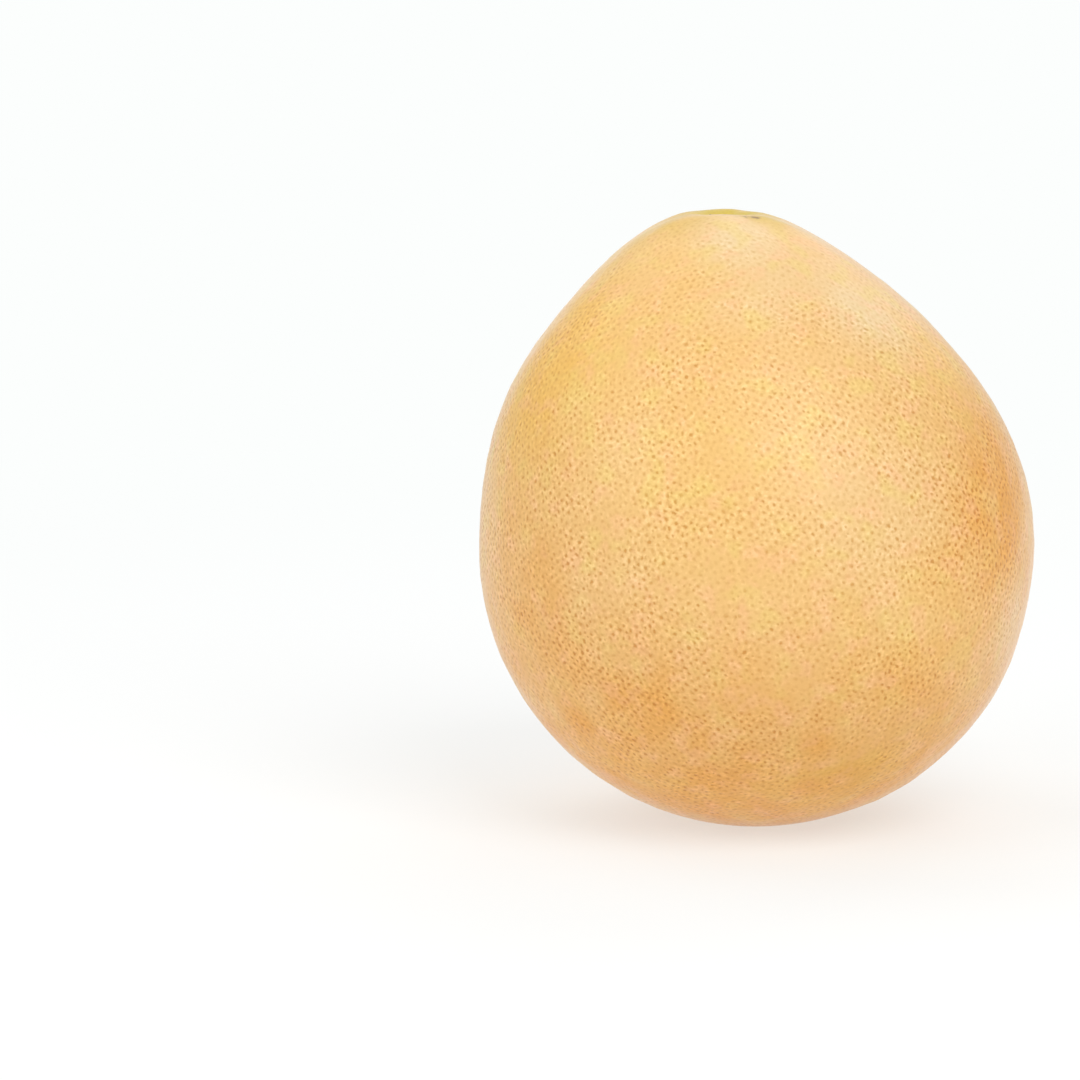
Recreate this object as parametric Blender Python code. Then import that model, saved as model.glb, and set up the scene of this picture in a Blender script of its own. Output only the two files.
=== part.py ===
"""A whole pomelo, as picked and trimmed of its stalk, standing on its blossom end.

One solid of revolution gone a little wrong, as fruit does. Its outline is an ellipse below the
girth and a taller one above it, pinched in under the crown, which is what makes the fruit a
blunt pear. The upper half leans, broad swells push the skin out and in, soft furrows run into
the crown, and the crown is dented round the button where the stalk came off. The fruit rests on
a small flat spot with the scar of the blossom in its middle.

Metres, +Z up. The origin is the middle of the fruit's bounding box, on the surface it stands on.
"""

import random

import bpy
import numpy as np

# The plain outline
GIRTH_RADIUS = 0.0753
GIRTH_HEIGHT = 0.0745
CROWN_RISE = 0.0938  # from the girth to the top of the crown, before it is dented
NECK_PINCH = 0.195  # share of the radius that the neck loses
NECK_LATITUDE = 66.5  # degrees above the girth
NECK_SPREAD = 27.7
LEAN = 0.0097  # how far the stalk end stands off to the left of the girth's centre
LEAN_POWER = 1.87

# The resting spot, and the blossom scar in its middle
SPOT_LATITUDE = -78.9
SPOT_FADE = 16.0  # degrees above the spot over which the swells grow from nothing
SCAR_RADIUS = 0.0040
SCAR_DEPTH = 0.0008

# The stalk end
HOLLOW_DEPTH = 0.0035
HOLLOW_RADIUS = 0.0075
BUTTON_RADIUS = 0.0036
BUTTON_HEIGHT = 0.0012
BUTTON_EDGE = 0.0004
BUTTON_LOBES = 5
LOBE_SHARE = 0.10
FURROW_COUNT = 6
FURROW_DEPTH = 0.0004
FURROW_RADIUS = 0.0200
FURROW_SPREAD = 0.0110

# Swells down the right and the left flank: azimuth, latitude, rise in metres, spread in degrees
FLANK_SWELLS = (
    (2, 79, -0.0010, 11),
    (-3, 61, -0.0001, 11),
    (0, 36, -0.0005, 8),
    (3, 22, -0.0004, 9),
    (-2, 6, 0.0007, 16),
    (0, -30, 0.0011, 22),
    (182, 77, -0.0012, 11),
    (178, 57, 0.0002, 11),
    (181, 40, -0.0006, 12),
)

# Smaller swells all over, drawn by chance
CHANCE_SWELLS = 26
CHANCE_SEED = 351
CHANCE_RISE = (0.0002, 0.0005)
CHANCE_SPREAD = (9, 20)
CHANCE_SINE = (-0.85, 0.90)  # of the latitude, so that they lie evenly over the skin

# The mesh
MERIDIANS = 96
PARALLELS = 58
CROWDING = 1.5  # above 1 the parallels crowd towards the stalk end
SMOOTH_ANGLE = 35

RIND_COLOUR = (0.88, 0.56, 0.21, 1.0)
RIND_ROUGHNESS = 0.42


def bell(distance, spread):
    """1 in the middle, and a third of that one spread away."""
    return np.exp(-((distance / spread) ** 2))


def outline(latitude):
    """Radius and height of the plain outline at each latitude, in degrees above the girth.

    Both are the cosine and sine of an ellipse, and a bell round the neck's latitude takes its
    share off the radius. The lower ellipse is deep enough to reach the surface at the spot.
    """
    angle = np.radians(latitude)
    depth = GIRTH_HEIGHT / -np.sin(np.radians(SPOT_LATITUDE))
    pinch = 1 - NECK_PINCH * bell(latitude - NECK_LATITUDE, NECK_SPREAD)
    radius = GIRTH_RADIUS * np.cos(angle) * pinch
    rise = np.where(latitude > 0, CROWN_RISE, depth) * np.sin(angle)
    return radius, GIRTH_HEIGHT + rise


def all_swells():
    """The flanks' swells, and the chance ones: half rise and half sink, evenly over the skin."""
    draw = random.Random(CHANCE_SEED)
    swells = list(FLANK_SWELLS)
    for _ in range(CHANCE_SWELLS):
        latitude = np.degrees(np.arcsin(draw.uniform(*CHANCE_SINE)))
        azimuth = draw.uniform(0, 360)
        rise = draw.choice((-1, 1)) * draw.uniform(*CHANCE_RISE)
        swells.append((azimuth, latitude, rise, draw.uniform(*CHANCE_SPREAD)))
    return swells


def swell(azimuth, latitude):
    """How far the swells push the skin out: one bell each, by the angle from its middle."""
    total = np.zeros_like(azimuth)
    lat = np.radians(latitude)
    for middle_azimuth, middle_latitude, rise, spread in all_swells():
        middle = np.radians(middle_latitude)
        turn = azimuth - np.radians(middle_azimuth)
        cosine = np.sin(lat) * np.sin(middle) + np.cos(lat) * np.cos(middle) * np.cos(turn)
        total += rise * bell(np.degrees(np.arccos(np.clip(cosine, -1, 1))), spread)
    grown = np.clip((latitude - SPOT_LATITUDE) / SPOT_FADE, 0, 1)
    return total * grown**2 * (3 - 2 * grown)


def stalk_end(azimuth, radius):
    """Height that the stalk end adds: furrows into the crown, its hollow, and the button in it.

    The furrows are cosines round the fruit within a bell of the radius, the hollow is a bell,
    and the button is a step with a soft edge whose radius is a cosine of its five lobes.
    """
    wave = 0.7 * np.cos(FURROW_COUNT * azimuth) + 0.3 * np.cos(2 * azimuth + 1.0)
    furrows = -FURROW_DEPTH * wave * bell(radius - FURROW_RADIUS, FURROW_SPREAD)
    hollow = -HOLLOW_DEPTH * bell(radius, HOLLOW_RADIUS)
    edge = BUTTON_RADIUS * (1 + LOBE_SHARE * np.cos(BUTTON_LOBES * azimuth))
    button = BUTTON_HEIGHT / (1 + np.exp(np.clip((radius - edge) / BUTTON_EDGE, -40, 40)))
    return furrows + hollow + button


def skin(azimuth, latitude):
    """Points of the skin for arrays of azimuth, in radians, and latitude, in degrees."""
    radius, height = outline(latitude)
    out = swell(azimuth, latitude)
    angle = np.radians(latitude)
    above_girth = np.clip((height - GIRTH_HEIGHT) / CROWN_RISE, 0, 1)
    across = radius + out * np.cos(angle)
    lift = np.where(latitude > 0, stalk_end(azimuth, radius), 0)
    return np.stack(
        [
            across * np.cos(azimuth) - LEAN * above_girth**LEAN_POWER,
            across * np.sin(azimuth),
            height + out * np.sin(angle) + lift,
        ],
        axis=-1,
    )


def rings():
    """The rings of points, from the two of the blossom scar up to the last on the button."""
    azimuth = np.linspace(0, 2 * np.pi, MERIDIANS, endpoint=False)
    share = np.linspace(0, 1, PARALLELS + 1)[:-1]
    latitude = SPOT_LATITUDE + (90 - SPOT_LATITUDE) * (1 - (1 - share) ** CROWDING)
    grid_latitude, grid_azimuth = np.meshgrid(latitude, azimuth, indexing="ij")
    body = skin(grid_azimuth, grid_latitude)
    body[0, :, 2] = 0
    scar = []
    for reach, height in ((SCAR_RADIUS / 2, SCAR_DEPTH), (SCAR_RADIUS, 0)):
        level = np.full(MERIDIANS, height)
        scar.append(np.stack([reach * np.cos(azimuth), reach * np.sin(azimuth), level], -1))
    return np.concatenate([scar, body])


def fruit_mesh():
    """The closed mesh: the rings joined by quads, with a fan of triangles at either end."""
    grid = rings()
    count = len(grid)
    scar_middle = np.array([[0, 0, SCAR_DEPTH]])
    button_middle = skin(np.zeros(1), np.full(1, 90.0))
    points = np.concatenate([grid.reshape(-1, 3), scar_middle, button_middle])
    low, high = points.min(axis=0), points.max(axis=0)
    points[:, :2] -= (low[:2] + high[:2]) / 2

    faces = []
    bottom, top = count * MERIDIANS, count * MERIDIANS + 1
    last = (count - 1) * MERIDIANS
    for near in range(MERIDIANS):
        far = (near + 1) % MERIDIANS
        faces.append((bottom, far, near))
        for ring in range(count - 1):
            below, above = ring * MERIDIANS, (ring + 1) * MERIDIANS
            faces.append((below + near, below + far, above + far, above + near))
        faces.append((last + near, last + far, top))

    mesh = bpy.data.meshes.new("pomelo")
    mesh.from_pydata(points.tolist(), [], faces)
    mesh.validate()
    mesh.shade_smooth()
    mesh.set_sharp_from_angle(angle=np.radians(SMOOTH_ANGLE))
    return mesh


def rind_material():
    """The leathery rind: pale orange yellow with a satin finish."""
    material = bpy.data.materials.new("rind")
    material.use_nodes = True
    shader = material.node_tree.nodes["Principled BSDF"]
    shader.inputs["Base Color"].default_value = RIND_COLOUR
    shader.inputs["Roughness"].default_value = RIND_ROUGHNESS
    shader.inputs["Metallic"].default_value = 0.0
    return material


def build():
    for old in list(bpy.data.objects):
        bpy.data.objects.remove(old, do_unlink=True)
    fruit = bpy.data.objects.new("pomelo", fruit_mesh())
    fruit.data.materials.append(rind_material())
    bpy.context.scene.collection.objects.link(fruit)


build()
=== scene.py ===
"""The looks of a whole pomelo: its pitted rind, its stalk button and the studio it stands in.

The rind is one closed surface of revolution gone a little wrong, with every oil gland of the
peel pressed into its mesh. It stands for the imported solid, whose outline it repeats.

Metres, +Z up. Latitudes are degrees above the girth, and azimuths are radians from +X.
"""

import math
import random
from functools import cached_property

import bpy
import numpy as np
from bpy.props import FloatProperty, FloatVectorProperty, IntProperty, PointerProperty
from mathutils import Matrix, Vector
from mathutils.geometry import delaunay_2d_cdt


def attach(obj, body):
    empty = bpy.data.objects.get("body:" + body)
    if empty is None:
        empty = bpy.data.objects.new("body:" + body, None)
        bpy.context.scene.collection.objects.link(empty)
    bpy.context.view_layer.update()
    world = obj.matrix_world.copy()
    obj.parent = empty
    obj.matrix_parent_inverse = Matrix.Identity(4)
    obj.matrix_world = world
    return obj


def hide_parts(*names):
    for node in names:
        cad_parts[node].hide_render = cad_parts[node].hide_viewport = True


bl_info = {
    "name": "Pomelo looks",
    "version": (1, 0, 0),
    "blender": (4, 5, 0),
    "location": "3D View > Sidebar > Pomelo",
    "description": "Builds the rind, the stalk button and the studio of a whole pomelo",
    "category": "Add Mesh",
}

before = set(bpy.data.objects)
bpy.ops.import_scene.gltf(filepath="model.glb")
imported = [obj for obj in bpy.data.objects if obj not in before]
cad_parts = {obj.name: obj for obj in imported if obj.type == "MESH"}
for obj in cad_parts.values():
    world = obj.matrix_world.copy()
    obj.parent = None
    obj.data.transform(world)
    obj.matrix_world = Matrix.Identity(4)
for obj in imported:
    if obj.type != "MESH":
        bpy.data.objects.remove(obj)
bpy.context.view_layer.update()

FRUIT_NODE = "pomelo"
BODY = "root"

# Swells down the right and the left flank: azimuth and latitude in degrees, rise, and spread in
# degrees. The same rows as the solid has.
FLANK_SWELLS = (
    (2, 79, -0.0010, 11),
    (-3, 61, -0.0001, 11),
    (0, 36, -0.0005, 8),
    (3, 22, -0.0004, 9),
    (-2, 6, 0.0007, 16),
    (0, -30, 0.0011, 22),
    (182, 77, -0.0012, 11),
    (178, 57, 0.0002, 11),
    (181, 40, -0.0006, 12),
)

# Smaller swells all over, drawn by chance. The sine is the latitude's, so that they lie evenly.
CHANCE_SWELLS = 26
CHANCE_SEED = 351
CHANCE_RISE = (0.0002, 0.0005)
CHANCE_SPREAD = (9, 20)
CHANCE_SINE = (-0.85, 0.90)

# The crown's furrows: shares of their even wave and of one with two crests, where in radians the
# second starts, and how far, how tightly and at what azimuth they are calmed
EVEN_WAVE = 0.7
SLOW_WAVE = 0.3
SLOW_START = 1.0
CALM = 0.85
CALM_TIGHTNESS = 4
CALM_AZIMUTH = 1.83

# Rings of the stalk button: share of its radius, share of its height over the rind, how much
# the lobes show, and how much it is the stalk's cut face
BUTTON_ROWS = (
    (0.80, -0.35, 1.0, 0),
    (0.97, -0.05, 1.0, 0),
    (1.00, 0.22, 1.0, 0),
    (0.95, 0.45, 1.0, 0),
    (0.83, 0.60, 0.9, 0),
    (0.66, 0.64, 0.6, 0),
    (0.53, 0.58, 0.3, 0),
    (0.46, 0.48, 0.1, 0),
    (0.43, 0.60, 0.0, 0),
    (0.42, 0.88, 0.0, 0),
    (0.39, 0.99, 0.0, 0.4),
    (0.33, 1.00, 0.0, 1),
    (0.20, 0.96, 0.0, 1),
    (0.08, 0.92, 0.0, 1),
)
BUTTON_MERIDIANS = 80
LOBE_WAVE = 0.17
UNEVEN_WAVE = 0.05
UNEVEN_START = 0.8
BUTTON_ROUGH = 0.00005
BUTTON_CAP = 12.0  # degrees from the pole, within which its rings lie

# Where the rind is a warmer orange, golden, paler or still olive, where its glands are darker or
# fainter, and where a painted shade line darkens the near rim of the crown's hollow: azimuth and
# latitude in degrees, share, spread in degrees
WARM_PATCHES = (
    (-32, 9, 0.95, 15),
    (-58, -25, 0.22, 12),
    (-50, 2, 0.15, 7),
    (-24, 15, 0.36, 7),
    (-6, -4, 0.40, 13),
    (-14, 26, 0.25, 11),
    (8, 14, 0.20, 12),
    (-24, 3, 0.15, 6),
    (-152, 32, 0.22, 14),
    (-124, 51, 0.12, 9),
    (-122, -22, 0.25, 13),
    (98, -28, 0.30, 15),
    (62, -4, 0.60, 17),
    (150, 12, 0.75, 19),
    (-148, -2, 0.45, 17),
)
GOLD_PATCHES = (
    (-148, 36, 0.90, 15),
    (-31, 36, 0.60, 10),
    (-60, -9, 0.60, 11),
    (60, 34, 0.70, 20),
    (118, -8, 0.60, 20),
    (-105, 20, 0.30, 20),
    (-113, 58, 0.45, 9),
    (-172, 58, 1.00, 15),
    (-160, 30, 0.70, 16),
    (-50, 3, 0.20, 8),
    (-60, -46, 0.50, 13),
)
PALE_PATCHES = (
    (-85, 67, 0.95, 11),
    (-47, 46, 0.80, 10),
    (-82, 47, 0.34, 10),
    (-27, -11, 0.50, 9),
    (-60, -6, 0.10, 9),
    (-67, -4, 0.14, 5),
    (-56, -34, 0.12, 7),
    (-66, 10, 0.20, 14),
    (62, 62, 0.60, 18),
    (168, 56, 0.60, 17),
    (98, 22, 0.40, 18),
)
OLIVE_PATCHES = (
    (90, 83, 0.78, 12),
    (0, 90, 0.30, 9),
    (28, 80, 0.30, 7),
    (-36, 76, 0.50, 7),
    (-128, 75, 0.25, 7),
    (-168, 70, 0.30, 9),
    (-60, -42, 0.15, 14),
)
BOLD_PATCHES = (
    (-45, 6, 0.42, 22),
    (-50, -40, -0.10, 14),
    (-6, -8, -0.30, 11),
    (-135, 42, -0.14, 14),
    (-47, 48, -0.20, 12),
    (-95, 8, -0.14, 30),
    (-62, -2, -0.10, 12),
    (70, 0, 0.35, 30),
    (170, 5, 0.35, 30),
    (-125, -8, 0.25, 28),
)
# Painted shade: a dark line along the near rim of the crown's hollow, drawn in the scar colour
RIM_SHADE_PATCHES = (
    (-76, 79, 0.40, 1.0),
    (-62, 78.4, 0.75, 1.0),
    (-50, 78, 1.00, 1.2),
)

# What the patches are added to: a share all over, and one that sets in low down, between two
# depths in degrees below the girth. Low down, warmth and gold are partly the rind's own colour
# and partly painted light, the warm bounce and shade under the fruit. What the glands lose sets
# in up the neck, between two latitudes.
WARM_BASE = 0.10
LOW_WARMTH_AND_BOUNCE = 0.75
WARM_SETS_IN = (-10, 50)
LOW_GOLD_AND_BOUNCE = 0.8
GOLD_SETS_IN = (30, 50)
BOLD_BASE = 0.58
BOLD_LOSS = 0.66
BOLD_FADES = (38, 76)

# How much chance fields swing the shares, and each field's seed, number of cosines, and
# shortest and longest wave in metres
WARM_SWING, WARM_FIELD = 0.14, (51, 40, 0.008, 0.030)
PALE_SWING, PALE_FIELD = 0.06, (61, 40, 0.012, 0.050)
BOLD_SWING, BOLD_FIELD = 0.20, (21, 40, 0.010, 0.035)
OLIVE_SWING, OLIVE_FIELD = 0.22, (81, 40, 0.005, 0.020)
RIPPLE, RIPPLE_FIELD = 0.00004, (41, 60, 0.004, 0.011)
BUTTON_FIELD = (71, 30, 0.0006, 0.0020)

# The draws of the glands' places, joined to a net, and of their tones with their swing and
# limits, for the colour and for the pit's depth
GLAND_SEED = 13
NET_TOLERANCE = 1e-7
TONE_SEED = 31
TONE_SWING = 0.27
TONES = (0.05, 1.5)
PIT_TONES = (0.3, 1.2)

# Steps over the resting spot and up the profile to measure the area, and to find the box
SPOT_STEPS = 200
PROFILE_STEPS = 4000
BOX_PARALLELS = 240
BOX_MERIDIANS = 361

# Shader: sizes of the noises in metres, the values between which a pattern sets in, and the
# shares of what it paints. A share with GRAIN in its name says how far the grain breaks an edge.
BLUSH_SIZE, BLUSH_RANGE, BLUSH_SHARE = 0.006, (0.48, 0.72), 0.33
LIME_SIZE, LIME_RANGE, LIME_SHARE = 0.008, (0.50, 0.72), 0.43
LIME_LOST_TO_WARMTH = 0.38
GRAIN_SIZE = 0.0011
GLAND_GRAIN = 0.5
DOT_RANGE, DOT_SHARE = (0.42, 0.90), 0.95
BETWEEN_RANGE, BETWEEN_SHARE = (0.34, 0.62), 0.35
FLECK_RANGE, FLECK_SHARE = (0.52, 0.70), 1.2
SPECK_RANGE, SPECK_SHARE = (0.32, 0.50), 0.55
SCAR_AND_SHADE_RANGE, SCAR_AND_SHADE_GRAIN, SCAR_AND_SHADE_SHARE = (0.18, 0.70), 0.8, 0.80
GLOSS_SIZE, GLOSS_SWING = 0.005, 0.16
OLIVE_DULLNESS = 0.3
BLOOM_ROUGHNESS = 0.28
RIND_BUMP = 0.3
BARK_SIZE, BARK_RANGE = 0.0009, (0.40, 0.68)
FACE_SPOTS = 0.6
CUT_RANGE = (0.45, 0.75)
BARK_ROUGHNESS = 0.8
BARK_BUMP = 0.6
BUMP_DISTANCE = 0.0002

# The studio's soft boxes: name, place, and the setting that holds its watts
LIGHTS = (
    ("key", (0.45, -0.95, 1.00), "key_power"),
    ("fill", (-1.1, -0.7, 0.7), "fill_power"),
    ("rim", (-0.75, 0.5, 1.25), "rim_power"),
    ("back", (0.3, 0.9, 0.9), "back_power"),
)
LIGHT_AIM = (0, 0, 0.08)
LIGHT_SIZE = 0.9
PAPER = (0.95, 0.95, 0.95, 1)
FLOOR_SIDES = 64

# The picture's frame in pixels, and the camera's sensor in millimetres
FRAME_PIXELS = 1080
SENSOR_WIDTH = 36.0


def linear(*levels):
    """The linear colour of an 8-bit one as a picture holds it, by the standard curve."""
    share = [level / 255 for level in levels]
    return tuple(s / 12.92 if s <= 0.04045 else ((s + 0.055) / 1.055) ** 2.4 for s in share)


def length(name, default, description):
    """A property that is a length in metres."""
    return FloatProperty(
        name=name, description=description, default=default, unit="LENGTH", precision=5
    )


def colour(name, default, description):
    """A property that is a colour, given as the bytes of a picture."""
    return FloatVectorProperty(
        name=name, description=description, default=linear(*default), subtype="COLOR", size=3
    )


def tint(name, default, description):
    """A property that a colour is multiplied by, as shares of red, green and blue."""
    return FloatVectorProperty(name=name, description=description, default=default, size=3)


class RindSettings(bpy.types.PropertyGroup):
    """The rind's form, its glands and its colours"""

    girth_radius: length("Girth radius", 0.0753, "Radius where the fruit is widest")
    girth_height: length("Girth height", 0.0745, "Height of the widest ring over the floor")
    crown_rise: length("Crown rise", 0.0938, "From the girth to the crown before it is dented")
    neck_pinch: FloatProperty(
        name="Neck pinch", description="Share of the radius that the neck loses", default=0.195
    )
    neck_latitude: FloatProperty(
        name="Neck latitude", description="Degrees from the girth up to the neck", default=66.5
    )
    neck_spread: FloatProperty(
        name="Neck spread", description="Degrees over which the pinch fades", default=27.7
    )
    lean: length("Lean", 0.0097, "How far the stalk end stands off to the left")
    lean_power: FloatProperty(
        name="Lean power", description="How late the lean sets in on the way up", default=1.87
    )
    spot_latitude: FloatProperty(
        name="Spot latitude", description="Latitude where the resting spot cuts in", default=-78.9
    )
    spot_fade: FloatProperty(
        name="Spot fade", description="Degrees over which the swells start", default=16.0
    )
    scar_radius: length("Scar radius", 0.0040, "Radius of the blossom scar in the spot")
    scar_depth: length("Scar depth", 0.0008, "Depth of the blossom scar")
    hollow_depth: length("Hollow depth", 0.0035, "Depth of the crown's hollow")
    hollow_radius: length("Hollow radius", 0.0075, "Radius at which a third of it is left")
    furrow_count: IntProperty(
        name="Furrows", description="Furrows that run into the crown", default=6
    )
    furrow_depth: length("Furrow depth", 0.0004, "Depth of the furrows")
    furrow_radius: length("Furrow radius", 0.0200, "Radius of the ring where they are deepest")
    furrow_spread: length("Furrow spread", 0.0110, "How far in and out of that ring they reach")
    gland_spacing: length("Gland spacing", 0.00212, "From one oil gland to the next")
    gland_depth: length("Gland depth", 0.00009, "Depth of the pit over a gland")
    gland_jitter: FloatProperty(
        name="Gland jitter", description="Shift of a gland, in spacings", default=0.26
    )
    ground: colour("Ground", (231, 188, 121), "Most of the rind")
    # Gold and warm also colour the rind low down, where they are partly painted light: the warm
    # bounce and shade under the fruit
    gold: colour("Gold", (233, 188, 94), "Golden patches, and low down")
    warm: colour("Warm", (225, 160, 70), "Rind where it has ripened to orange, and low down")
    pale: colour("Pale", (231, 202, 152), "Rind on the crown and the paler patches")
    olive: colour("Olive", (207, 179, 58), "Rind in the crown's hollow")
    blush: colour("Blush", (242, 182, 134), "Pinkish blotches")
    lime: colour("Lime", (226, 198, 104), "Yellowish blotches")
    # The scar colour also paints the shade line along the near rim of the crown's hollow
    scar: colour("Scar", (122, 82, 38), "Small scars and the blossom end")
    dark: tint("Dark", (0.77, 0.61, 0.38), "What the middle of a gland does to the colour")
    light: tint("Light", (1.15, 1.22, 1.48), "What the flecks between the glands do to it")
    roughness: FloatProperty(
        name="Roughness", description="Of the waxy skin", default=0.46, subtype="FACTOR"
    )
    bloom: FloatProperty(
        name="Bloom", description="Weight of the skin's sheen", default=0.50, subtype="FACTOR"
    )


class ButtonSettings(bpy.types.PropertyGroup):
    """The stalk button's size and colours"""

    radius: length("Button radius", 0.0036, "Out to the tips of the calyx's lobes")
    height: length("Button height", 0.0012, "Over the bottom of the hollow")
    lobes: IntProperty(name="Lobes", description="Lobes of the calyx", default=5)
    bark: colour("Bark", (138, 112, 58), "Calyx and the stalk's skin")
    shade: colour("Shade", (88, 62, 30), "Darker spots of the calyx")
    wood: colour("Wood", (184, 152, 100), "Cut face of the stalk")


class StudioSettings(bpy.types.PropertyGroup):
    """The floor, the lights and the camera"""

    floor_radius: length("Floor radius", 3.0, "Radius of the round floor")
    floor_fade: length("Floor fade", 0.8, "Radius where the floor has turned into the backdrop")
    white: colour("White", (252, 254, 253), "Floor and backdrop")
    glow: FloatProperty(
        name="Glow", description="Share of the floor's white that no shadow takes", default=0.55
    )
    soft_light: FloatProperty(
        name="Soft light", description="Strength of the light from all round", default=0.55
    )
    key_power: FloatProperty(name="Key", description="Watts, from the front right", default=9.5)
    fill_power: FloatProperty(name="Fill", description="Watts, from the front left", default=4.3)
    rim_power: FloatProperty(name="Rim", description="Watts, from behind the left", default=2.8)
    back_power: FloatProperty(name="Back", description="Watts, from behind", default=3.4)
    lens: FloatProperty(name="Lens", description="Focal length", default=146.6, unit="CAMERA")
    distance: length("Camera distance", 1.20, "From the camera to the middle of the girth")
    elevation: FloatProperty(
        name="Elevation", description="Degrees that the camera looks down", default=8.5
    )
    girth_pixel: FloatVectorProperty(
        name="Girth pixel",
        description="Where the middle of the girth is seen, from the picture's top left",
        default=(756.1, 548.0),
        size=2,
    )


def bell(distance, spread):
    """1 in the middle, and a third of that one spread away."""
    return np.exp(-((distance / spread) ** 2))


def smooth_step(value, low, high):
    """0 below low, 1 above high, and a cubic with flat ends between them."""
    share = np.clip((value - low) / (high - low), 0, 1)
    return share**2 * (3 - 2 * share)


def angle_from(azimuth, latitude, place):
    """Degrees over a globe from each point to a place, an azimuth and a latitude in degrees.

    The angle's cosine is the sum of the products of the sines and of the cosines of the two
    latitudes, the second times the cosine of the turn between the azimuths.
    """
    lat = np.radians(latitude)
    middle = math.radians(place[1])
    turn = azimuth - math.radians(place[0])
    cosine = np.sin(lat) * math.sin(middle) + np.cos(lat) * math.cos(middle) * np.cos(turn)
    return np.degrees(np.arccos(np.clip(cosine, -1, 1)))


def bells_at(places, azimuth, latitude):
    """The sum of one bell at each place, a row of azimuth, latitude, height and spread."""
    total = np.zeros_like(azimuth)
    for *place, height, spread in places:
        total += height * bell(angle_from(azimuth, latitude, place), spread)
    return total


def chance_swells():
    """Small swells by chance: half rise and half sink, evenly over the skin."""
    draw = random.Random(CHANCE_SEED)
    swells = []
    for _ in range(CHANCE_SWELLS):
        latitude = math.degrees(math.asin(draw.uniform(*CHANCE_SINE)))
        azimuth = draw.uniform(0, 360)
        rise = draw.choice((-1, 1)) * draw.uniform(*CHANCE_RISE)
        swells.append((azimuth, latitude, rise, draw.uniform(*CHANCE_SPREAD)))
    return tuple(swells)


def outline(rind, latitude):
    """Radius and height of the plain outline at each latitude.

    Both are the cosine and sine of an ellipse, and a bell round the neck's latitude takes its
    share off the radius. The lower ellipse is deep enough to reach the floor at the spot.
    """
    angle = np.radians(latitude)
    depth = rind.girth_height / -math.sin(math.radians(rind.spot_latitude))
    pinch = 1 - rind.neck_pinch * bell(latitude - rind.neck_latitude, rind.neck_spread)
    radius = rind.girth_radius * np.cos(angle) * pinch
    rise = np.where(latitude > 0, rind.crown_rise, depth) * np.sin(angle)
    return radius, rind.girth_height + rise


def stalk_end(rind, azimuth, radius):
    """Height that the stalk end adds: furrows within a bell of the radius, and a hollow.

    The furrows are a cosine with one crest each and a slow one with two in all. The exponential
    of a cosine calms them on the far side of the crown. The hollow is a bell.
    """
    wave = EVEN_WAVE * np.cos(rind.furrow_count * azimuth)
    wave += SLOW_WAVE * np.cos(2 * azimuth + SLOW_START)
    wave *= 1 - CALM * np.exp(CALM_TIGHTNESS * (np.cos(azimuth - CALM_AZIMUTH) - 1))
    furrows = -rind.furrow_depth * wave * bell(radius - rind.furrow_radius, rind.furrow_spread)
    return furrows - rind.hollow_depth * bell(radius, rind.hollow_radius)


def skin(rind, azimuth, latitude, reach, out):
    """Points of the whole skin.

    Above the spot each is the plain outline's point, turned to its azimuth and moved by out
    along the outline's own angle, with the lean and the stalk end's form added. In the spot it
    lies reach from the middle on the floor, raised over the scar by a bell.
    """
    radius, height = outline(rind, latitude)
    angle = np.radians(latitude)
    above_girth = np.clip((height - rind.girth_height) / rind.crown_rise, 0, 1)
    across = radius + out * np.cos(angle)
    lift = np.where(latitude > 0, stalk_end(rind, azimuth, radius), 0)
    upper = np.stack(
        [
            across * np.cos(azimuth) - rind.lean * above_girth**rind.lean_power,
            across * np.sin(azimuth),
            height + out * np.sin(angle) + lift,
        ],
        axis=-1,
    )
    scar = rind.scar_depth * bell(reach, rind.scar_radius / 2)
    flat = np.stack([reach * np.cos(azimuth), reach * np.sin(azimuth), scar - out], axis=-1)
    points = np.where((latitude > rind.spot_latitude)[:, None], upper, flat)
    points[:, 2] = np.maximum(points[:, 2], 0)
    return points


def measure_profile(rind):
    """How the skin's area is spread over its profile, from the middle of the spot to the crown.

    Returns three arrays, the reach from the spot's middle, the latitude, and the share of all
    the area that lies below, and the whole area. A ring's area is its length times the
    profile's own length there.
    """
    edge = rind.spot_latitude
    spot_radius = outline(rind, np.array([edge]))[0][0]
    spot = np.linspace(0, spot_radius, SPOT_STEPS)
    reach = np.concatenate([spot, np.full(PROFILE_STEPS, spot_radius)])
    latitude = np.concatenate([np.full(SPOT_STEPS, edge), np.linspace(edge, 90, PROFILE_STEPS)])
    radius, height = outline(rind, latitude)
    radius[:SPOT_STEPS] = spot
    run = np.hypot(np.diff(radius), np.diff(height))
    area = np.concatenate([[0], np.cumsum(run * (radius[1:] + radius[:-1]) * math.pi)])
    return reach, latitude, area / area[-1], area[-1]


def waves(points, seed, count, shortest, longest):
    """A smooth chance field: a sum of cosines of chance direction, length and start.

    It is scaled so that its spread is 1 whatever their number is.
    """
    draw = np.random.default_rng(seed)
    total = np.zeros(len(points))
    for _ in range(count):
        way = draw.normal(size=3)
        way /= np.linalg.norm(way)
        wave = draw.uniform(shortest, longest)
        total += np.cos(points @ way * (2 * math.pi / wave) + draw.uniform(0, 2 * math.pi))
    return total * math.sqrt(2 / count)


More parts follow.
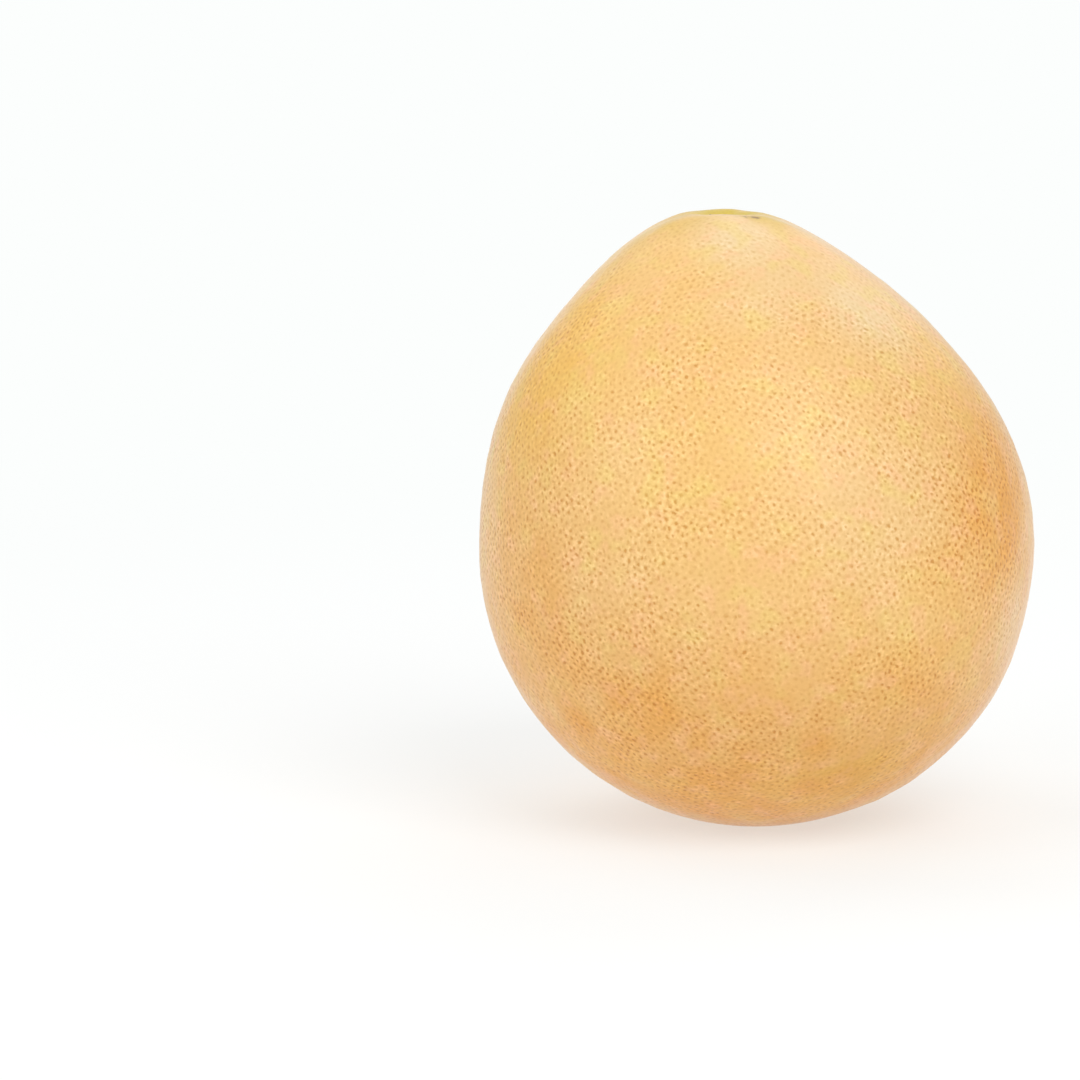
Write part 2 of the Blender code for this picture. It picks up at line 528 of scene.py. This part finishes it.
def gland_globe(count, jitter):
    """Unit vectors to the glands on a globe whose areas are the skin's own.

    A sunflower's lattice: each is a golden angle on from the last and one even step higher.
    Each is then pushed off its place by a seeded draw of up to jitter spacings each way. The
    spacing is that of a lattice of triangles, where each gland has an equal share of the globe.
    """
    step = np.arange(count) + 0.5
    height = 2 * step / count - 1
    azimuth = step * math.pi * (3 - math.sqrt(5))
    across = np.sqrt(1 - height**2)
    globe = np.stack([across * np.cos(azimuth), across * np.sin(azimuth), height], axis=-1)
    spacing = math.sqrt(8 * math.pi / math.sqrt(3) / count)
    draw = np.random.default_rng(GLAND_SEED)
    globe += draw.uniform(-1, 1, size=globe.shape) * spacing * jitter
    return globe / np.linalg.norm(globe, axis=1, keepdims=True)


def sides_of(triangles):
    """The sides of triangles as pairs of points: the first of each, the second, the third."""
    return np.concatenate([triangles[:, (0, 1)], triangles[:, (1, 2)], triangles[:, (2, 0)]])


def net_over(globe):
    """Triangles between the glands, and the point in the middle of each, all on the globe.

    The globe is seen from its lowest point, which lays it out flat and keeps its circles round,
    and the flat points are joined so that no circle through three of them holds a fourth. The
    edge of that net is closed over the lowest point, which is added as the last gland.
    """
    flat = globe[:, :2] / (1 + globe[:, 2:])
    found = delaunay_2d_cdt([Vector(p) for p in flat.tolist()], [], [], 0, NET_TOLERANCE)
    triangles = np.array(found[2])
    a, b, c = (flat[triangles[:, k]] for k in range(3))
    turned = np.cross(b - a, c - a) < 0
    triangles[turned] = triangles[turned][:, ::-1]
    sides = sides_of(triangles)
    count = len(globe)
    missing = np.setdiff1d(sides[:, 1] * count + sides[:, 0], sides[:, 0] * count + sides[:, 1])
    edge = np.stack([missing // count, missing % count, np.full(len(missing), count)], axis=-1)
    triangles = np.concatenate([triangles, edge])
    globe = np.concatenate([globe, [[0, 0, -1.0]]])
    middles = globe[triangles].sum(axis=1)
    return triangles, globe, middles / np.linalg.norm(middles, axis=1, keepdims=True)


def pitted_faces(triangles, gland_count):
    """Faces that leave each gland alone among the middles of the triangles round it.

    Every side of a triangle, from one gland to the next, gives one face: the gland it starts
    from, the middle of the triangle across the side, and the middle of its own.
    """
    sides = sides_of(triangles)
    own = np.tile(np.arange(len(triangles)), 3)
    key = sides[:, 0] * gland_count + sides[:, 1]
    back = sides[:, 1] * gland_count + sides[:, 0]
    order = np.argsort(key)
    across = own[order[np.searchsorted(key[order], back)]]
    return np.stack([sides[:, 0], gland_count + across, gland_count + own], axis=-1)


def make_mesh(name, points, faces, numbers=None):
    """A smooth mesh from whole arrays, with a number attribute on its points for each name."""
    mesh = bpy.data.meshes.new(name)
    mesh.from_pydata(points, [], faces)
    for key, values in (numbers or {}).items():
        attribute = mesh.attributes.new(key, "FLOAT", "POINT")
        attribute.data.foreach_set("value", values.astype(np.float32))
    mesh.shade_smooth()
    mesh.update()
    return mesh


def add_piece(name, mesh, material):
    """A piece of the fruit: an object at the origin that moves with the fruit."""
    piece = bpy.data.objects.new(name, mesh)
    piece.data.materials.append(material)
    bpy.context.scene.collection.objects.link(piece)
    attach(piece, BODY)
    return piece


def swells_at(rind, azimuth, latitude):
    """How far the swells push the skin out. They grow from nothing above the resting spot."""
    grown = smooth_step(latitude, rind.spot_latitude, rind.spot_latitude + rind.spot_fade)
    return bells_at(FLANK_SWELLS + chance_swells(), azimuth, latitude) * grown


def middle_of_box(rind):
    """How far the middle of the skin's bounding box lies off the girth's axis, as x, y and 0."""
    latitude, azimuth = np.meshgrid(
        np.linspace(rind.spot_latitude, 90, BOX_PARALLELS),
        np.linspace(0, 2 * math.pi, BOX_MERIDIANS),
    )
    latitude, azimuth = latitude.ravel(), azimuth.ravel()
    out = swells_at(rind, azimuth, latitude)
    points = skin(rind, azimuth, latitude, np.zeros(len(out)), out)
    middle = (points.min(axis=0) + points.max(axis=0)) / 2
    return np.array([middle[0], middle[1], 0])


def gland_tones(plain, azimuth, latitude):
    """How dark each gland is: its patches' bells, fainter up the neck, and a draw of its own."""
    boldness = BOLD_BASE + bells_at(BOLD_PATCHES, azimuth, latitude)
    boldness *= 1 - BOLD_LOSS * smooth_step(latitude, *BOLD_FADES)
    boldness *= 1 + BOLD_SWING * waves(plain, *BOLD_FIELD)
    draw = np.random.default_rng(TONE_SEED).normal(size=len(plain))
    return np.clip(boldness * (1 + TONE_SWING * draw), *TONES)


def rind_shares(rind, plain, azimuth, latitude, reach):
    """How much of each colour the rind has at each point, from 0 to 1.

    Each is the sum of its patches' bells, over what it is all round the fruit, and is made
    uneven by a chance field. Low down, warmth and gold are partly painted light, the warm bounce
    and shade under the fruit. The scar share holds painted shade along the near rim of the
    crown's hollow, and the blossom end's scar round the spot's middle.
    """
    # Low down, warmth and gold are partly the rind's own colour and partly painted light: the
    # warm bounce and shade under the fruit
    low = smooth_step(-latitude, *WARM_SETS_IN)
    warmth = WARM_BASE + LOW_WARMTH_AND_BOUNCE * low + bells_at(WARM_PATCHES, azimuth, latitude)
    warmth *= 1 + WARM_SWING * waves(plain, *WARM_FIELD)
    gold = LOW_GOLD_AND_BOUNCE * smooth_step(-latitude, *GOLD_SETS_IN)
    gold += bells_at(GOLD_PATCHES, azimuth, latitude)
    paleness = bells_at(PALE_PATCHES, azimuth, latitude)
    paleness += PALE_SWING * waves(plain, *PALE_FIELD)
    olive = bells_at(OLIVE_PATCHES, azimuth, latitude)
    olive *= 1 + OLIVE_SWING * waves(plain, *OLIVE_FIELD)
    # Painted shade along the near rim of the crown's hollow, and the blossom end's scar
    scar = bells_at(RIM_SHADE_PATCHES, azimuth, latitude)
    scar += 1 - smooth_step(reach, rind.scar_radius / 2, rind.scar_radius)
    shares = {
        "warmth": warmth,
        "gold": gold,
        "paleness": paleness,
        "olive": olive,
        "scar": scar,
    }
    return {name: np.clip(share, 0, 1) for name, share in shares.items()}


def rind_surface(rind):
    """The rind: points, faces, and for each point how much gland it is, its tone and colours.

    The globe's heights are shares of the skin's area, which the profile turns into latitudes.
    The glands are pressed in by their depth times their tone, and low waves ripple the skin.
    """
    reaches, latitudes, shares, area = measure_profile(rind)
    count = int(area / (rind.gland_spacing**2 * math.sqrt(3) / 2))
    triangles, globe, middles = net_over(gland_globe(count, rind.gland_jitter))
    faces = pitted_faces(triangles, len(globe))
    globe = np.concatenate([globe, middles])
    azimuth = np.arctan2(globe[:, 1], globe[:, 0])
    share = (globe[:, 2] + 1) / 2
    latitude = np.interp(share, shares, latitudes)
    reach = np.interp(share, shares, reaches)
    spot_share = shares[np.argmax(latitudes > rind.spot_latitude) - 1]
    latitude[share < spot_share] = rind.spot_latitude

    gland = np.zeros(len(globe))
    gland[: count + 1] = 1
    plain = skin(rind, azimuth, latitude, reach, np.zeros(len(globe)))
    tone = gland_tones(plain, azimuth, latitude)
    tone[count + 1 :] = tone[triangles].mean(axis=1)

    out = swells_at(rind, azimuth, latitude)
    out -= gland * rind.gland_depth * np.clip(tone, *PIT_TONES)
    rise = smooth_step(latitude, rind.spot_latitude, rind.spot_latitude + rind.spot_fade)
    out += RIPPLE * rise * waves(plain, *RIPPLE_FIELD)
    points = skin(rind, azimuth, latitude, reach, out) - middle_of_box(rind)
    numbers = {"gland": gland, "tone": tone}
    numbers.update(rind_shares(rind, plain, azimuth, latitude, reach))
    return points, faces, numbers


def button_surface(rind, button):
    """The stalk button: points, faces, and for each point how much of the stalk's cut face it is.

    Rings run from under the calyx's edge up over its lobes, down into the groove round the
    stalk, up the stub and over its cut face. A ring's radius is the row's share of the
    button's, widened at the lobes by a cosine and made uneven by a slower one, and its height
    is counted from the rind below it.
    """
    rows = np.array(BUTTON_ROWS)
    size = BUTTON_MERIDIANS
    turn = np.linspace(0, 2 * math.pi, size, endpoint=False)
    wide = LOBE_WAVE * np.cos(turn * button.lobes)
    wide = wide + UNEVEN_WAVE * np.cos(2 * turn + UNEVEN_START) - UNEVEN_WAVE
    share, height, lobe, cut = (column[:, None] for column in rows.T)
    radius = share * button.radius * (1 + lobe * wide)
    latitudes = 90 + np.arange(-BUTTON_CAP, 1.0)
    radii = outline(rind, latitudes)[0]
    latitude = np.interp(radius.ravel(), radii[::-1], latitudes[::-1])
    azimuth = np.tile(turn, len(rows))
    points = skin(rind, azimuth, latitude, radius.ravel(), swells_at(rind, azimuth, latitude))
    points[:, 2] += np.repeat(height.ravel(), size) * button.height
    points[:, 2] += BUTTON_ROUGH * waves(points, *BUTTON_FIELD)
    points = np.concatenate([points, points[-size:].mean(axis=0, keepdims=True)])
    points -= middle_of_box(rind)

    near = np.arange(size)
    far = (near + 1) % size
    low = np.arange(len(rows) - 1)[:, None] * size
    rings = np.stack([low + near, low + far, low + size + far, low + size + near], axis=-1)
    top = len(rows) * size
    last = top - size
    fan = np.stack([last + near, last + far, np.full(size, top)], axis=-1)
    faces = rings.reshape(-1, 4).tolist() + fan.tolist()
    return points, faces, {"cut": np.concatenate([np.repeat(cut.ravel(), size), [1]])}


class Number:
    """A number in a node tree. The usual operators on it add Math nodes."""

    def __init__(self, recipe, socket):
        self.recipe = recipe
        self.socket = socket

    def math(self, operation, *terms):
        """The result of a Math node on the terms, each a Number or a plain number."""
        settings = {"operation": operation}
        made = self.recipe.node("ShaderNodeMath", settings, dict(enumerate(terms)))
        return Number(self.recipe, made.outputs[0])

    def __add__(self, other):
        return self.math("ADD", self, other)

    def __sub__(self, other):
        return self.math("SUBTRACT", self, other)

    def __mul__(self, other):
        return self.math("MULTIPLY", self, other)

    def __rsub__(self, other):
        return self.math("SUBTRACT", other, self)

    __radd__ = __add__
    __rmul__ = __mul__


class Recipe:
    """The node tree of one material or world, and the ways to add to it."""

    def __init__(self, owner):
        self.owner = owner
        owner.use_nodes = True
        self.tree = owner.node_tree
        self.tree.nodes.clear()

    @cached_property
    def place(self):
        """The Object coordinates, from one node that all the noises share."""
        return self.node("ShaderNodeTexCoord").outputs["Object"]

    def node(self, kind, settings=None, sockets=None):
        """A new node: its settings come first, and then each socket gets a value or a link."""
        made = self.tree.nodes.new(kind)
        for name, value in (settings or {}).items():
            setattr(made, name, value)
        for name, value in (sockets or {}).items():
            value = value.socket if isinstance(value, Number) else value
            if isinstance(value, bpy.types.NodeSocket):
                self.tree.links.new(value, made.inputs[name])
            else:
                made.inputs[name].default_value = value
        return made

    def attribute(self, name):
        """The number that the mesh's points carry under a name."""
        made = self.node("ShaderNodeAttribute", {"attribute_name": name})
        return Number(self, made.outputs["Fac"])

    def noise(self, size, detail=2.0, roughness=0.5):
        """Noise whose features are about size metres across, from 0 to 1."""
        made = self.node(
            "ShaderNodeTexNoise",
            {},
            {"Vector": self.place, "Scale": 1 / size, "Detail": detail, "Roughness": roughness},
        )
        return Number(self, made.outputs["Fac"])

    def ease(self, number, low, high):
        """0 where the number is below low, 1 above high, and a smooth step between them."""
        made = self.node(
            "ShaderNodeMapRange",
            {"interpolation_type": "SMOOTHSTEP"},
            {"Value": number, "From Min": low, "From Max": high},
        )
        return Number(self, made.outputs["Result"])

    def mix(self, share, first, second, blend="MIX"):
        """The first colour turning into its blend with the second as share goes from 0 to 1."""
        first, second = ((*c, 1) if isinstance(c, tuple) else c for c in (first, second))
        settings = {"data_type": "RGBA", "blend_type": blend}
        made = self.node("ShaderNodeMix", settings, {0: share, 6: first, 7: second})
        return made.outputs[2]

    def bump(self, height, strength):
        """The normal that a height gives, at the fine scale that all the pieces share."""
        sockets = {"Strength": strength, "Distance": BUMP_DISTANCE, "Height": height}
        return self.node("ShaderNodeBump", {}, sockets).outputs["Normal"]

    def close(self, shader, kind="ShaderNodeOutputMaterial"):
        """Ends the tree in the shader's node, and returns what the tree belongs to."""
        self.node(kind, {}, {"Surface": shader.outputs[0]})
        return self.owner


def rgb(setting):
    """A colour setting as plain numbers, which mix takes."""
    return tuple(setting)


def rind_material(rind):
    """The rind: a waxy skin mottled from yellow to orange, and olive round the stalk.

    The mesh's shares turn the ground into gold, warm, pale and olive, and two soft noises add
    blush and lime blotches. The gold and warm low down are partly painted light, the warm bounce
    and shade under the fruit. Every oil gland is a soft darker dot, as dark as its tone, and a
    fine grain breaks up its edge. Between the glands the grain leaves light flecks and small
    dark specks. The scars come last, with painted shade along the near rim of the crown's
    hollow. The sheen is the skin's pale bloom at a glancing angle.
    """
    recipe = Recipe(bpy.data.materials.new("rind"))
    gland, tone = recipe.attribute("gland"), recipe.attribute("tone")
    warmth, olive = recipe.attribute("warmth"), recipe.attribute("olive")
    shade = recipe.mix(recipe.attribute("gold"), rgb(rind.ground), rgb(rind.gold))
    shade = recipe.mix(warmth, shade, rgb(rind.warm))
    shade = recipe.mix(recipe.attribute("paleness"), shade, rgb(rind.pale))
    blush = recipe.ease(recipe.noise(BLUSH_SIZE), *BLUSH_RANGE) * BLUSH_SHARE
    shade = recipe.mix(blush, shade, rgb(rind.blush))
    lime_share = LIME_SHARE - warmth * LIME_LOST_TO_WARMTH
    lime = recipe.ease(recipe.noise(LIME_SIZE, 1.0), *LIME_RANGE) * lime_share
    shade = recipe.mix(lime, shade, rgb(rind.lime))
    shade = recipe.mix(olive, shade, rgb(rind.olive))

    grain = recipe.noise(GRAIN_SIZE, 3.0)
    fleck = recipe.ease(grain, *FLECK_RANGE) * FLECK_SHARE
    speck = 1 - recipe.ease(grain, *SPECK_RANGE)
    gland = gland + (grain - 0.5) * -GLAND_GRAIN
    between = (1 - recipe.ease(gland, *BETWEEN_RANGE)) * (fleck + BETWEEN_SHARE) * tone
    dot = recipe.ease(gland, *DOT_RANGE) * tone
    shade = recipe.mix(between, shade, rgb(rind.light), "MULTIPLY")
    darkness = dot * DOT_SHARE + speck * tone * SPECK_SHARE
    shade = recipe.mix(darkness, shade, rgb(rind.dark), "MULTIPLY")
    # The scar share paints the blossom end and the painted shade along the crown hollow's near
    # rim
    scar = recipe.ease(recipe.attribute("scar") + (grain - 0.5) * SCAR_AND_SHADE_GRAIN, *SCAR_AND_SHADE_RANGE)
    shade = recipe.mix(scar * SCAR_AND_SHADE_SHARE, shade, rgb(rind.scar))
    gloss = recipe.noise(GLOSS_SIZE) * GLOSS_SWING + olive * OLIVE_DULLNESS
    shader = recipe.node(
        "ShaderNodeBsdfPrincipled",
        {},
        {
            "Base Color": shade,
            "Roughness": gloss + (rind.roughness - GLOSS_SWING / 2),
            "Normal": recipe.bump(grain * 0.5 - dot, RIND_BUMP),
            "Sheen Weight": rind.bloom,
            "Sheen Roughness": BLOOM_ROUGHNESS,
        },
    )
    return recipe.close(shader)


def button_material(button):
    """The stalk button: a dry calyx, spotted by noise, and a paler cut face."""
    recipe = Recipe(bpy.data.materials.new("stalk button"))
    spots = recipe.ease(recipe.noise(BARK_SIZE, 4.0, 0.6), *BARK_RANGE)
    bark = recipe.mix(spots, rgb(button.bark), rgb(button.shade))
    face = recipe.mix(spots * FACE_SPOTS, rgb(button.wood), rgb(button.bark))
    cut = recipe.ease(recipe.attribute("cut"), *CUT_RANGE)
    shader = recipe.node(
        "ShaderNodeBsdfPrincipled",
        {},
        {
            "Base Color": recipe.mix(cut, bark, face),
            "Roughness": BARK_ROUGHNESS,
            "Normal": recipe.bump(spots, BARK_BUMP),
        },
    )
    return recipe.close(shader)


class POMELO_OT_rind(bpy.types.Operator):
    """Adds the rind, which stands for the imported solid"""

    bl_idname = "pomelo.rind"
    bl_label = "Rind"

    def execute(self, context):
        rind = context.scene.pomelo_rind
        points, faces, numbers = rind_surface(rind)
        mesh = make_mesh("rind", points, faces, numbers)
        piece = add_piece("rind", mesh, rind_material(rind))
        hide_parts(FRUIT_NODE)
        return {"FINISHED"}


class POMELO_OT_button(bpy.types.Operator):
    """Adds the stalk button in the crown's hollow"""

    bl_idname = "pomelo.button"
    bl_label = "Stalk button"

    def execute(self, context):
        rind, button = context.scene.pomelo_rind, context.scene.pomelo_button
        points, faces, numbers = button_surface(rind, button)
        mesh = make_mesh("stalk_button", points, faces, numbers)
        piece = add_piece("stalk_button", mesh, button_material(button))
        smooth = piece.modifiers.new("smooth", "SUBSURF")
        smooth.levels = smooth.render_levels = 1
        return {"FINISHED"}


def floor_material(studio):
    """Paper that partly glows near the fruit, and is the backdrop's own white further out."""
    recipe = Recipe(bpy.data.materials.new("floor"))
    reach = recipe.node("ShaderNodeVectorMath", {"operation": "LENGTH"}, {0: recipe.place})
    reach = Number(recipe, reach.outputs["Value"])
    far = recipe.ease(reach, studio.floor_fade / 3, studio.floor_fade)
    far = far * (1 - studio.glow) + studio.glow
    paper = recipe.node("ShaderNodeBsdfDiffuse", {}, {"Color": PAPER})
    glow = recipe.node("ShaderNodeEmission", {}, {"Color": (*studio.white, 1)})
    sockets = {0: far, 1: paper.outputs[0], 2: glow.outputs[0]}
    return recipe.close(recipe.node("ShaderNodeMixShader", {}, sockets))


def studio_world(studio):
    """A backdrop that is white to the camera, and a softer light to everything else."""
    recipe = Recipe(bpy.data.worlds.new("studio"))
    sockets = {"Color": (1, 1, 1, 1), "Strength": studio.soft_light}
    felt = recipe.node("ShaderNodeBackground", {}, sockets)
    seen = recipe.node("ShaderNodeBackground", {}, {"Color": (*studio.white, 1)})
    by_camera = recipe.node("ShaderNodeLightPath").outputs["Is Camera Ray"]
    sockets = {0: by_camera, 1: felt.outputs[0], 2: seen.outputs[0]}
    both = recipe.node("ShaderNodeMixShader", {}, sockets)
    return recipe.close(both, "ShaderNodeOutputWorld")


def floor_mesh(studio):
    """The round floor: a ring of points joined to its middle by a fan."""
    turn = np.linspace(0, 2 * math.pi, FLOOR_SIDES, endpoint=False)
    rim = np.stack([np.cos(turn), np.sin(turn), np.zeros(FLOOR_SIDES)], axis=-1)
    points = np.concatenate([rim * studio.floor_radius, [[0, 0, 0]]])
    near = np.arange(FLOOR_SIDES)
    middle = np.full(FLOOR_SIDES, FLOOR_SIDES)
    return make_mesh("floor", points, np.stack([middle, near, (near + 1) % FLOOR_SIDES], axis=-1))


def add_light(name, place, power):
    """A square soft box that faces the fruit."""
    light = bpy.data.lights.new(name, "AREA")
    light.shape = "SQUARE"
    light.size = LIGHT_SIZE
    light.energy = power
    lamp = bpy.data.objects.new(name, light)
    lamp.location = place
    lamp.rotation_euler = (Vector(LIGHT_AIM) - Vector(place)).to_track_quat("-Z", "Y").to_euler()
    bpy.context.scene.collection.objects.link(lamp)


def add_camera(studio, rind):
    """The photograph's camera, which sees the middle of the girth at its pixel of the frame."""
    camera = bpy.data.cameras.new("camera")
    camera.lens = studio.lens
    camera.sensor_width = SENSOR_WIDTH
    camera.clip_start = 0.01
    tilt = math.radians(studio.elevation)
    ahead = Vector((0, math.cos(tilt), -math.sin(tilt)))
    right = Vector((1, 0, 0))
    up = right.cross(ahead)
    per_pixel = studio.distance * SENSOR_WIDTH / studio.lens / FRAME_PIXELS
    across = (studio.girth_pixel[0] - FRAME_PIXELS / 2) * per_pixel
    above = (FRAME_PIXELS / 2 - studio.girth_pixel[1]) * per_pixel
    girth = Vector((0, 0, rind.girth_height))
    lens = bpy.data.objects.new("camera", camera)
    turned = Matrix((right, up, -ahead)).transposed().to_4x4()
    turned.translation = girth - ahead * studio.distance - right * across - up * above
    lens.matrix_world = turned
    bpy.context.scene.collection.objects.link(lens)
    bpy.context.scene.camera = lens


class POMELO_OT_studio(bpy.types.Operator):
    """Adds the floor, the lights, the backdrop and the camera"""

    bl_idname = "pomelo.studio"
    bl_label = "Studio"

    def execute(self, context):
        studio = context.scene.pomelo_studio
        floor = bpy.data.objects.new("floor", floor_mesh(studio))
        floor.data.materials.append(floor_material(studio))
        context.scene.collection.objects.link(floor)
        for name, place, power in LIGHTS:
            add_light(name, place, getattr(studio, power))
        add_camera(studio, context.scene.pomelo_rind)
        context.scene.world = studio_world(studio)
        context.scene.view_settings.view_transform = "Standard"
        return {"FINISHED"}


class POMELO_PT_panel(bpy.types.Panel):
    """The pomelo's pieces, in the sidebar"""

    bl_label = "Pomelo"
    bl_idname = "POMELO_PT_panel"
    bl_space_type = "VIEW_3D"
    bl_region_type = "UI"
    bl_category = "Pomelo"

    def draw(self, context):
        for kind in OPERATORS:
            self.layout.operator(kind.bl_idname)


OPERATORS = (POMELO_OT_studio, POMELO_OT_rind, POMELO_OT_button)
SETTINGS = {
    "pomelo_rind": RindSettings,
    "pomelo_button": ButtonSettings,
    "pomelo_studio": StudioSettings,
}


def register():
    """Registers the classes, and hangs the settings on the scene."""
    for kind in (*SETTINGS.values(), *OPERATORS, POMELO_PT_panel):
        bpy.utils.register_class(kind)
    for name, kind in SETTINGS.items():
        setattr(bpy.types.Scene, name, PointerProperty(type=kind))


def unregister():
    """Undoes what register does."""
    for name in SETTINGS:
        delattr(bpy.types.Scene, name)
    for kind in (POMELO_PT_panel, *reversed(OPERATORS), *SETTINGS.values()):
        bpy.utils.unregister_class(kind)


def main():
    """Builds the studio, the rind and the button."""
    register()
    bpy.ops.pomelo.studio()
    bpy.ops.pomelo.rind()
    bpy.ops.pomelo.button()


if __name__ == "__main__":
    main()
